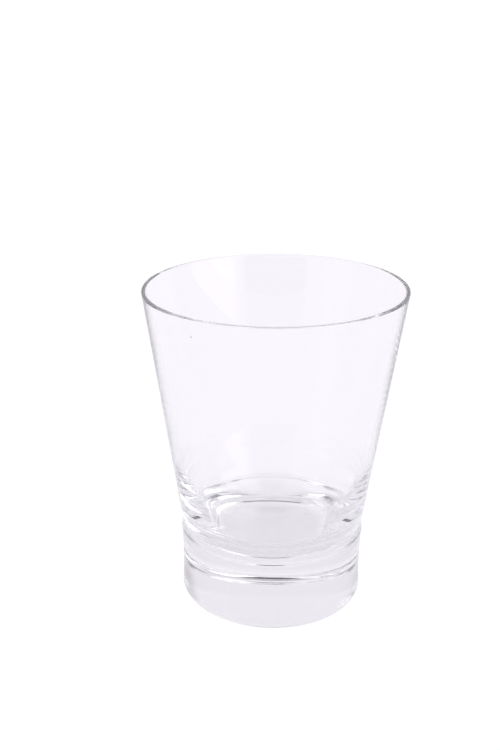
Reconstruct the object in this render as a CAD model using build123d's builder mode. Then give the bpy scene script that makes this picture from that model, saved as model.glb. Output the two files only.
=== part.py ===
from build123d import *
from math import atan, degrees
import os

# A heavy-based whiskey tumbler: one piece of clear soda-lime glass, turned
# about +Z. The origin is the centre of the base, on the surface it stands on.
# Lengths are in millimetres.

# Driving dimensions, outside
height = 115.0
rim_radius = 44.0             # where the cone would meet a square lip
waist_radius = 32.3           # where the cone meets the foot
waist_height = 30.0
waist_blend = 13.0            # soft radius that joins cone and foot
foot_radius = 32.7            # the solid foot, at its shoulder
foot_tuck = 0.43              # how far the foot's side draws in at half height
shoulder_drop = 2.5           # the shoulder is this far below the waist
shoulder_blend = 4.0
heel_width = 8.0              # well-rounded heel: how far in it goes
heel_height = 4.2             # and how far up

# Driving dimensions, inside
lip_wall = 1.4                # glass thickness at the mouth
mid_wall = 2.4                # glass thickness where the wall starts to thicken
mid_height = 51.0
mid_blend = 80.0              # slow turn of the inner wall at that height
bowl_radius = 24.7            # where the lower wall and the floor would meet
floor_height = 24.5           # the cavity's floor, so the foot is solid below it
floor_blend = 17.0            # radius between lower wall and floor

# Worked out from them
lip_round = 0.47 * lip_wall
base_radius = foot_radius - heel_width
shoulder_height = waist_height - shoulder_drop
side_middle = (heel_height + shoulder_height) / 2
cone_slope = (rim_radius - waist_radius) / (height - waist_height)
inner_top = rim_radius - lip_wall
inner_mid = waist_radius + cone_slope * (mid_height - waist_height) - mid_wall

# The heel's ellipse runs on past upright, to where it leans in as the side does
side_lean = 4 * foot_tuck / (shoulder_height - heel_height)
heel_turn = degrees(atan(side_lean * heel_height / heel_width))

# The glass: a half section revolved about +Z
with BuildPart() as tumbler:
    with BuildSketch(Plane.XZ) as section:
        with BuildLine():
            # Outside: flat base, heel, drawn-in side, shoulder, waist, cone
            base = Line((0, 0), (base_radius, 0))
            heel = EllipticalCenterArc((base_radius, heel_height), heel_width, heel_height,
                                       start_angle=-90, arc_size=90 + heel_turn)
            side = ThreePointArc(heel @ 1, (foot_radius - foot_tuck, side_middle),
                                 (foot_radius, shoulder_height))
            step = Line(side @ 1, (waist_radius, waist_height))
            cone = Line(step @ 1, (rim_radius, height))
            lip = Line(cone @ 1, (inner_top, height))
            # Inside: thin upper wall, thickening lower wall, floor in to the axis
            upper_wall = Line(lip @ 1, (inner_mid, mid_height))
            lower_wall = Line(upper_wall @ 1, (bowl_radius, floor_height))
            floor = Line(lower_wall @ 1, (0, floor_height))
            Line(floor @ 1, base @ 0)
        make_face()
        fillet(section.vertices().group_by(Axis.Y)[-1], lip_round)
        for corner, radius in (((foot_radius, shoulder_height), shoulder_blend),
                               ((waist_radius, waist_height), waist_blend),
                               ((inner_mid, mid_height), mid_blend),
                               ((bowl_radius, floor_height), floor_blend)):
            fillet(section.vertices().sort_by_distance(corner)[0], radius)
    revolve(axis=Axis.Z)

tumbler.part.label = "tumbler"

os.makedirs("parts", exist_ok=True)
export_step(tumbler.part, "parts/tumbler.step")
print("glass volume, cm3:", round(tumbler.part.volume / 1000, 2))
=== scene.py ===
import math

import bpy
import numpy as np
from mathutils import Matrix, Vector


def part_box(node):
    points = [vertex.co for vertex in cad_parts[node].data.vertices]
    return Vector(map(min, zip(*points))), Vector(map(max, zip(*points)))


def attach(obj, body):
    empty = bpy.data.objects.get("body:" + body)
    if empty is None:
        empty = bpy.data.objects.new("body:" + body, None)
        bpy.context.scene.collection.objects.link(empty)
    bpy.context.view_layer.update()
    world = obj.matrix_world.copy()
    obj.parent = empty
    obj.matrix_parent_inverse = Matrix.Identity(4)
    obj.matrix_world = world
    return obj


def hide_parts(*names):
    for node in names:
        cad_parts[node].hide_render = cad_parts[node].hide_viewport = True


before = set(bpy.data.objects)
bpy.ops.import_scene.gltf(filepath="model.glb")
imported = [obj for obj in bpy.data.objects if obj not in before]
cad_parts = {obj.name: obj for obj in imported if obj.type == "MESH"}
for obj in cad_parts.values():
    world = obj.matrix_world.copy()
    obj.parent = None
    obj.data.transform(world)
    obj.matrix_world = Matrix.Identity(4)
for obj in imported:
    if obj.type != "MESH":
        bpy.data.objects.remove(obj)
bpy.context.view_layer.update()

MM = 0.001
WHITE = (1, 1, 1, 1)
BLACK = (0, 0, 0, 1)

# ---------------------------------------------------------------- the glass, outside
_, TOP_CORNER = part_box("tumbler")
HEIGHT = TOP_CORNER[2]
RIM_RADIUS = 44.0 * MM
WAIST_RADIUS = 32.3 * MM
WAIST_HEIGHT = 30.0 * MM
WAIST_BLEND = 13.0 * MM
FOOT_RADIUS = 32.7 * MM
FOOT_TUCK = 0.43 * MM
SHOULDER_DROP = 2.5 * MM
SHOULDER_BLEND = 4.0 * MM
SHOULDER_TRIM = SHOULDER_BLEND / 3    # the side's curve stops this far short of the shoulder
HEEL_WIDTH = 8.0 * MM
HEEL_HEIGHT = 4.2 * MM

# ---------------------------------------------------------------- and inside
LIP_WALL = 1.4 * MM
LIP_ROUND = 0.47 * LIP_WALL   # nearly a full half round
MID_WALL = 2.4 * MM
MID_HEIGHT = 51.0 * MM
MID_BLEND = 80.0 * MM
BOWL_RADIUS = 24.7 * MM
FLOOR_HEIGHT = 24.5 * MM
FLOOR_BLEND = 17.0 * MM

# ---------------------------------------------------------------- how finely it is divided
AROUND = 384
SPACING = 0.55 * MM
ARC_STEPS = 10                # the fewest steps in a rounded corner
HEEL_STEPS = 16
SIDE_STEPS = 40


def steps(length):
    """How many equal steps of about SPACING fit a length, never fewer than two."""
    return max(2, int(math.ceil(length / SPACING)))


def straight(start, end):
    """Points evenly along the line from start to end, both ends included."""
    start, end = np.array(start, float), np.array(end, float)
    along = np.linspace(0, 1, steps(np.linalg.norm(end - start)) + 1)[:, None]
    return start + (end - start) * along


def rounded(corners, radii):
    """The path through the corners with each inner corner rounded to its radius.

    At a corner whose sides open by the angle 2h, the arc of radius R starts
    R / tan(h) before it, ends as far after it, and its centre is R / sin(h)
    from the corner along the bisector.
    """
    parts = [np.array([corners[0]], float)]
    last = np.array(corners[0], float)
    for before, corner, after, radius in zip(corners, corners[1:], corners[2:], radii):
        corner = np.array(corner, float)
        back = np.array(before) - corner
        on = np.array(after) - corner
        back, on = back / np.linalg.norm(back), on / np.linalg.norm(on)
        half = math.acos(float(np.clip(back @ on, -1, 1))) / 2
        bisector = (back + on) / np.linalg.norm(back + on)
        centre = corner + bisector * radius / math.sin(half)
        first = corner + back * radius / math.tan(half)
        final = corner + on * radius / math.tan(half)
        parts.append(straight(last, first)[1:])
        start_angle = math.atan2(*(first - centre)[::-1])
        end_angle = math.atan2(*(final - centre)[::-1])
        turn = (end_angle - start_angle + math.pi) % (2 * math.pi) - math.pi
        count = max(ARC_STEPS, steps(abs(turn) * radius))
        angle = start_angle + turn * np.linspace(0, 1, count + 1)[1:]
        parts.append(centre + radius * np.stack([np.cos(angle), np.sin(angle)], 1))
        last = final
    parts.append(straight(last, corners[-1])[1:])
    return np.concatenate(parts)


def glass_section():
    """The half section of the glass as (radius, height), from the middle of the
    base round the outside, over the lip and down the inside to the axis.

    The base is flat. The heel is a quarter of an ellipse. The foot's side is
    drawn in by the tuck times 4 t (1 - t), with t running from heel to
    shoulder. Straight lines with rounded corners make the rest.
    """
    base_radius = FOOT_RADIUS - HEEL_WIDTH
    shoulder_height = WAIST_HEIGHT - SHOULDER_DROP
    base = straight((0, 0), (base_radius, 0))
    angle = np.linspace(-math.pi / 2, 0, HEEL_STEPS + 1)[1:]
    heel = np.stack([base_radius + HEEL_WIDTH * np.cos(angle),
                     HEEL_HEIGHT + HEEL_HEIGHT * np.sin(angle)], 1)
    t = np.linspace(0, 1, SIDE_STEPS)
    side = np.stack([FOOT_RADIUS - 4 * FOOT_TUCK * t * (1 - t),
                     HEEL_HEIGHT + (shoulder_height - HEEL_HEIGHT) * t], 1)[1:]
    side = side[side[:, 1] < shoulder_height - SHOULDER_TRIM]
    cone_slope = (RIM_RADIUS - WAIST_RADIUS) / (HEIGHT - WAIST_HEIGHT)
    inner_mid = WAIST_RADIUS + cone_slope * (MID_HEIGHT - WAIST_HEIGHT) - MID_WALL
    walls = rounded(
        [tuple(side[-1]), (FOOT_RADIUS, shoulder_height), (WAIST_RADIUS, WAIST_HEIGHT),
         (RIM_RADIUS, HEIGHT), (RIM_RADIUS - LIP_WALL, HEIGHT), (inner_mid, MID_HEIGHT),
         (BOWL_RADIUS, FLOOR_HEIGHT), (0.0, FLOOR_HEIGHT)],
        [SHOULDER_BLEND, WAIST_BLEND, LIP_ROUND, LIP_ROUND, MID_BLEND, FLOOR_BLEND])
    return np.concatenate([base, heel, side[:-1], walls])


def turned(name, section):
    """A section turned about +Z: point i of the section and step j round give
    (r cos a, r sin a, z) with a = 2 pi j / AROUND. Both ends of the section lie
    on the axis and close as fans of triangles.
    """
    ring = section[1:-1]
    rows = len(ring)
    angle = np.linspace(0, 2 * math.pi, AROUND, endpoint=False)
    grid = np.stack([ring[:, :1] * np.cos(angle), ring[:, :1] * np.sin(angle),
                     np.repeat(ring[:, 1:], AROUND, 1)], -1).reshape(-1, 3)
    poles = np.array([[0, 0, section[0, 1]], [0, 0, section[-1, 1]]])
    row, column = np.meshgrid(np.arange(rows - 1), np.arange(AROUND), indexing="ij")
    after = (column + 1) % AROUND
    quads = np.stack([row * AROUND + column, row * AROUND + after,
                      (row + 1) * AROUND + after, (row + 1) * AROUND + column], -1).reshape(-1, 4)
    column = np.arange(AROUND)
    after = (column + 1) % AROUND
    top_row = (rows - 1) * AROUND
    bottom_fan = np.stack([np.full(AROUND, len(grid)), after, column], -1)
    top_fan = np.stack([np.full(AROUND, len(grid) + 1), top_row + column, top_row + after], -1)
    mesh = bpy.data.meshes.new(name)
    mesh.from_pydata(np.concatenate([grid, poles]).tolist(), [],
                     quads.tolist() + bottom_fan.tolist() + top_fan.tolist())
    mesh.polygons.foreach_set("use_smooth", np.ones(len(mesh.polygons), bool))
    mesh.update()
    piece = bpy.data.objects.new(name, mesh)
    bpy.context.scene.collection.objects.link(piece)
    return piece


# ---------------------------------------------------------------- node helpers

def node(tree, kind, **values):
    """A node of one kind. Plain properties are set by name, and sockets by "in_"
    and their place in the node's list."""
    made = tree.nodes.new(kind)
    for key, value in values.items():
        if key.startswith("in_"):
            made.inputs[int(key[3:])].default_value = value
        else:
            setattr(made, key, value)
    return made


def math_node(tree, operation, first, second):
    """A maths node; either side is a socket to link or a plain number."""
    made = node(tree, "ShaderNodeMath", operation=operation)
    for place, value in enumerate((first, second)):
        if isinstance(value, (int, float)):
            made.inputs[place].default_value = value
        else:
            tree.links.new(value, made.inputs[place])
    return made.outputs[0]


def map_range(tree, value, low, high, to_low, to_high, smooth=False):
    """A value taken from one range to another, held at both ends."""
    made = node(tree, "ShaderNodeMapRange", in_1=low, in_2=high, in_3=to_low, in_4=to_high,
                interpolation_type="SMOOTHSTEP" if smooth else "LINEAR")
    tree.links.new(value, made.inputs[0])
    return made.outputs[0]


# ---------------------------------------------------------------- the glass material

IOR = 1.52
WAVE_SCALE = 60.0             # noise scale of the glass's slow waves, per metre
WAVE_DETAIL = 1.0
WAVE_HEIGHT = 0.004 * MM
WEAR_SCALE = 900.0
WEAR_DETAIL = 4.0
WEAR_HEIGHT = 0.01 * MM
WEAR_ROUGHNESS = 0.10
WEAR_TOP = 1.0 * MM           # wear from standing on tables lies below this height
HAZE_SCALE = 35.0
HAZE_DETAIL = 3.0
HAZE_START = 0.62             # noise level where a patch of haze begins
HAZE_FULL = 0.80              # and where it is at its strongest
HAZE_ROUGHNESS = 0.012
SEED_SCALE = 60.0             # sparse pits left by seed bubbles: cells per metre
SEED_RADIUS = 0.4 * MM
SEED_DEPTH = 0.12 * MM
GLASS_COLOUR = (0.80, 0.82, 0.82, 1.0)
GLASS_DENSITY = 5.5


def glass_surface():
    """Roughness and height of used glass: slow waves all over, a few tiny pits left
    by seed bubbles, fine wear on the base and faint patches of handling haze."""
    group = bpy.data.node_groups.new("glass_surface", "ShaderNodeTree")
    group.interface.new_socket("Position", in_out="INPUT", socket_type="NodeSocketVector")
    group.interface.new_socket("Roughness", in_out="OUTPUT", socket_type="NodeSocketFloat")
    group.interface.new_socket("Height", in_out="OUTPUT", socket_type="NodeSocketFloat")
    entry = group.nodes.new("NodeGroupInput")
    leave = group.nodes.new("NodeGroupOutput")

    def noise(scale, detail):
        """Even three-dimensional noise over the glass."""
        texture = group.nodes.new("ShaderNodeTexNoise")
        group.links.new(entry.outputs["Position"], texture.inputs["Vector"])
        texture.inputs["Scale"].default_value = scale
        texture.inputs["Detail"].default_value = detail
        return texture.outputs[0]

    split = group.nodes.new("ShaderNodeSeparateXYZ")
    group.links.new(entry.outputs["Position"], split.inputs[0])
    near_base = map_range(group, split.outputs["Z"], 0.0, WEAR_TOP, 1.0, 0.0, smooth=True)
    wear = math_node(group, "MULTIPLY", near_base, noise(WEAR_SCALE, WEAR_DETAIL))
    haze = map_range(group, noise(HAZE_SCALE, HAZE_DETAIL), HAZE_START, HAZE_FULL,
                     0.0, HAZE_ROUGHNESS, smooth=True)
    rough = math_node(group, "ADD", haze, math_node(group, "MULTIPLY", wear, WEAR_ROUGHNESS))
    group.links.new(rough, leave.inputs["Roughness"])
    cells = group.nodes.new("ShaderNodeTexVoronoi")
    group.links.new(entry.outputs["Position"], cells.inputs["Vector"])
    cells.inputs["Scale"].default_value = SEED_SCALE
    pits = map_range(group, cells.outputs["Distance"], 0.0, SEED_RADIUS * SEED_SCALE,
                     -SEED_DEPTH, 0.0, smooth=True)
    waves = math_node(group, "MULTIPLY", noise(WAVE_SCALE, WAVE_DETAIL), WAVE_HEIGHT)
    marks = math_node(group, "MULTIPLY", wear, WEAR_HEIGHT)
    relief = math_node(group, "ADD", math_node(group, "ADD", waves, marks), pits)
    group.links.new(relief, leave.inputs["Height"])
    return group


def clear_glass():
    """Clear soda-lime glass: smooth, slightly wavy, a faint cool grey tint with depth."""
    material = bpy.data.materials.new("clear_glass")
    material.use_nodes = True
    tree = material.node_tree
    shader = tree.nodes["Principled BSDF"]
    shader.inputs["Base Color"].default_value = WHITE
    shader.inputs["Metallic"].default_value = 0.0
    shader.inputs["Transmission Weight"].default_value = 1.0
    shader.inputs["IOR"].default_value = IOR
    place = tree.nodes.new("ShaderNodeTexCoord")
    surface = node(tree, "ShaderNodeGroup", node_tree=glass_surface())
    tree.links.new(place.outputs["Object"], surface.inputs["Position"])
    tree.links.new(surface.outputs["Roughness"], shader.inputs["Roughness"])
    bump = tree.nodes.new("ShaderNodeBump")
    bump.inputs["Distance"].default_value = 1.0
    tree.links.new(surface.outputs["Height"], bump.inputs["Height"])
    tree.links.new(bump.outputs["Normal"], shader.inputs["Normal"])
    tint = tree.nodes.new("ShaderNodeVolumeAbsorption")
    tint.inputs["Color"].default_value = GLASS_COLOUR
    tint.inputs["Density"].default_value = GLASS_DENSITY
    tree.links.new(tint.outputs["Volume"], tree.nodes["Material Output"].inputs["Volume"])
    return material


glass = turned("glass_body", glass_section())
glass.data.materials.append(clear_glass())
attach(glass, "root")
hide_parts("tumbler")

# ---------------------------------------------------------------- the studio

TINT = (1.033, 1.0, 1.066)    # the studio's light is a very slightly violet white


def studio_grey(level):
    """A grey of the studio's own tint."""
    return tuple(level * share for share in TINT) + (1.0,)


SEEN = 1.03                   # background as the camera sees it: plain white
FLOOR_RADIUS = 3.0
FLOOR_ALBEDO = 0.36
FLOOR_GLOW = 0.615            # the table's own light, as the glass sees it
FLOOR_CORNERS = 96
FLOOR_DROP = 0.1 * MM         # keeps the floor's face clear of the glass's base


def studio_floor():
    """A pale round table, white to the camera and a soft grey white to the glass."""
    angle = np.linspace(0, 2 * math.pi, FLOOR_CORNERS, endpoint=False)
    ring = np.stack([FLOOR_RADIUS * np.cos(angle), FLOOR_RADIUS * np.sin(angle),
                     np.full(FLOOR_CORNERS, -FLOOR_DROP)], 1)
    mesh = bpy.data.meshes.new("floor")
    mesh.from_pydata(ring.tolist(), [], [list(range(FLOOR_CORNERS))])
    floor = bpy.data.objects.new("floor", mesh)
    bpy.context.scene.collection.objects.link(floor)
    material = bpy.data.materials.new("pale_table")
    material.use_nodes = True
    tree = material.node_tree
    table = tree.nodes["Principled BSDF"]
    table.inputs["Base Color"].default_value = (FLOOR_ALBEDO, FLOOR_ALBEDO, FLOOR_ALBEDO, 1)
    table.inputs["Emission Color"].default_value = studio_grey(1.0)
    table.inputs["Emission Strength"].default_value = FLOOR_GLOW
    table.inputs["Roughness"].default_value = 1.0
    table.inputs["Specular IOR Level"].default_value = 0.0
    white = node(tree, "ShaderNodeEmission", in_0=WHITE, in_1=SEEN)
    path = tree.nodes.new("ShaderNodeLightPath")
    choose = tree.nodes.new("ShaderNodeMixShader")
    tree.links.new(path.outputs["Is Camera Ray"], choose.inputs[0])
    tree.links.new(table.outputs[0], choose.inputs[1])
    tree.links.new(white.outputs[0], choose.inputs[2])
    tree.links.new(choose.outputs[0], tree.nodes["Material Output"].inputs["Surface"])
    mesh.materials.append(material)


# Brightness of the studio's walls by direction: degrees round from the camera's
# side (to the right is positive) and level.
WALLS = [(-180, 0.88), (-125, 0.88), (-108, 0.8), (-94, 0.8), (-88, 0.95), (33, 0.95), (37, 1.1),
         (42, 1.9), (82, 1.9), (88, 0.9), (96, 0.6), (110, 0.6), (128, 0.88), (180, 0.88)]
# The shaded part of the studio above and behind the camera, on both sides of it
SHADE_EDGE = 29.0             # degrees to each side
SHADE_SOFTNESS = 1.5          # degrees either side of that edge
SHADE_LOW = 0.45              # how much it darkens near the horizon
SHADE_HIGH = 0.95             # and higher up
SHADE_RISE_START = 0.30       # height on the unit sphere where it deepens
SHADE_RISE_END = 0.50
CEILING = 0.88
CEILING_START = 0.93          # height on the unit sphere where the ceiling begins
CEILING_END = 0.99            # and where it has taken over


def studio_world():
    """Soft studio light: walls whose brightness changes with direction, shaded on
    the camera's side, under a pale ceiling."""
    world = bpy.data.worlds.new("studio")
    bpy.context.scene.world = world
    world.use_nodes = True
    tree = world.node_tree
    direction = tree.nodes.new("ShaderNodeTexCoord")
    split = tree.nodes.new("ShaderNodeSeparateXYZ")
    tree.links.new(direction.outputs["Generated"], split.inputs[0])
    front = math_node(tree, "MULTIPLY", split.outputs["Y"], -1.0)
    azimuth = math_node(tree, "ARCTAN2", split.outputs["X"], front)
    turn = map_range(tree, azimuth, -math.pi, math.pi, 0.0, 1.0)
    ramp = tree.nodes.new("ShaderNodeValToRGB")
    stops = ramp.color_ramp.elements
    stops.remove(stops[1])
    stops[0].position = 0.0
    stops[0].color = studio_grey(WALLS[0][1])
    for degrees, level in WALLS[1:]:
        stops.new((degrees + 180) / 360).color = studio_grey(level)
    tree.links.new(turn, ramp.inputs[0])
    away = math_node(tree, "ABSOLUTE", azimuth, 0.0)
    inside = map_range(tree, away, math.radians(SHADE_EDGE - SHADE_SOFTNESS),
                       math.radians(SHADE_EDGE + SHADE_SOFTNESS), 1.0, 0.0)
    depth = map_range(tree, split.outputs["Z"], SHADE_RISE_START, SHADE_RISE_END,
                      SHADE_LOW, SHADE_HIGH)
    shaded = node(tree, "ShaderNodeMix", data_type="RGBA")
    tree.links.new(math_node(tree, "MULTIPLY", inside, depth), shaded.inputs[0])
    tree.links.new(ramp.outputs[0], shaded.inputs[6])
    shaded.inputs[7].default_value = BLACK
    up = map_range(tree, split.outputs["Z"], CEILING_START, CEILING_END, 0.0, 1.0, smooth=True)
    roof = node(tree, "ShaderNodeMix", data_type="RGBA")
    tree.links.new(up, roof.inputs[0])
    tree.links.new(shaded.outputs[2], roof.inputs[6])
    roof.inputs[7].default_value = studio_grey(CEILING)
    path = tree.nodes.new("ShaderNodeLightPath")
    choose = node(tree, "ShaderNodeMix", data_type="RGBA")
    tree.links.new(path.outputs["Is Camera Ray"], choose.inputs[0])
    tree.links.new(roof.outputs[2], choose.inputs[6])
    choose.inputs[7].default_value = (SEEN, SEEN, SEEN, 1)
    tree.links.new(choose.outputs[2], tree.nodes["Background"].inputs["Color"])


studio_floor()
studio_world()

# ---------------------------------------------------------------- the camera

CAMERA_DISTANCE = 0.3209
CAMERA_HEIGHT = 0.2049
CAMERA_YAW = -0.0630
CAMERA_PITCH = 0.4458
CAMERA_ROLL = -0.0122
SENSOR_WIDTH = 36.0
LENS = 47.95
SHIFT_X = 0.046
SHIFT_Y = 0.114
NEAREST_SEEN = 0.01


def studio_camera():
    """The camera stands in front of the glass and looks down at it. It is leaned by
    its roll, tipped up from facing the floor to its pitch, then swung by its yaw."""
    optics = bpy.data.cameras.new("camera")
    optics.sensor_width = SENSOR_WIDTH
    optics.lens = LENS
    optics.shift_x = SHIFT_X
    optics.shift_y = SHIFT_Y
    optics.clip_start = NEAREST_SEEN
    camera = bpy.data.objects.new("camera", optics)
    camera.matrix_world = (Matrix.Translation((0, -CAMERA_DISTANCE, CAMERA_HEIGHT))
                           @ Matrix.Rotation(-CAMERA_YAW, 4, "Z")
                           @ Matrix.Rotation(math.pi / 2 - CAMERA_PITCH, 4, "X")
                           @ Matrix.Rotation(CAMERA_ROLL, 4, "Z"))
    bpy.context.scene.collection.objects.link(camera)
    bpy.context.scene.camera = camera


studio_camera()
bpy.context.scene.view_settings.view_transform = "Standard"

# Light is followed through every turn inside the thick base
GLASS_BOUNCES = 128
bpy.context.scene.cycles.max_bounces = GLASS_BOUNCES
bpy.context.scene.cycles.transmission_bounces = GLASS_BOUNCES
bpy.context.scene.cycles.glossy_bounces = GLASS_BOUNCES
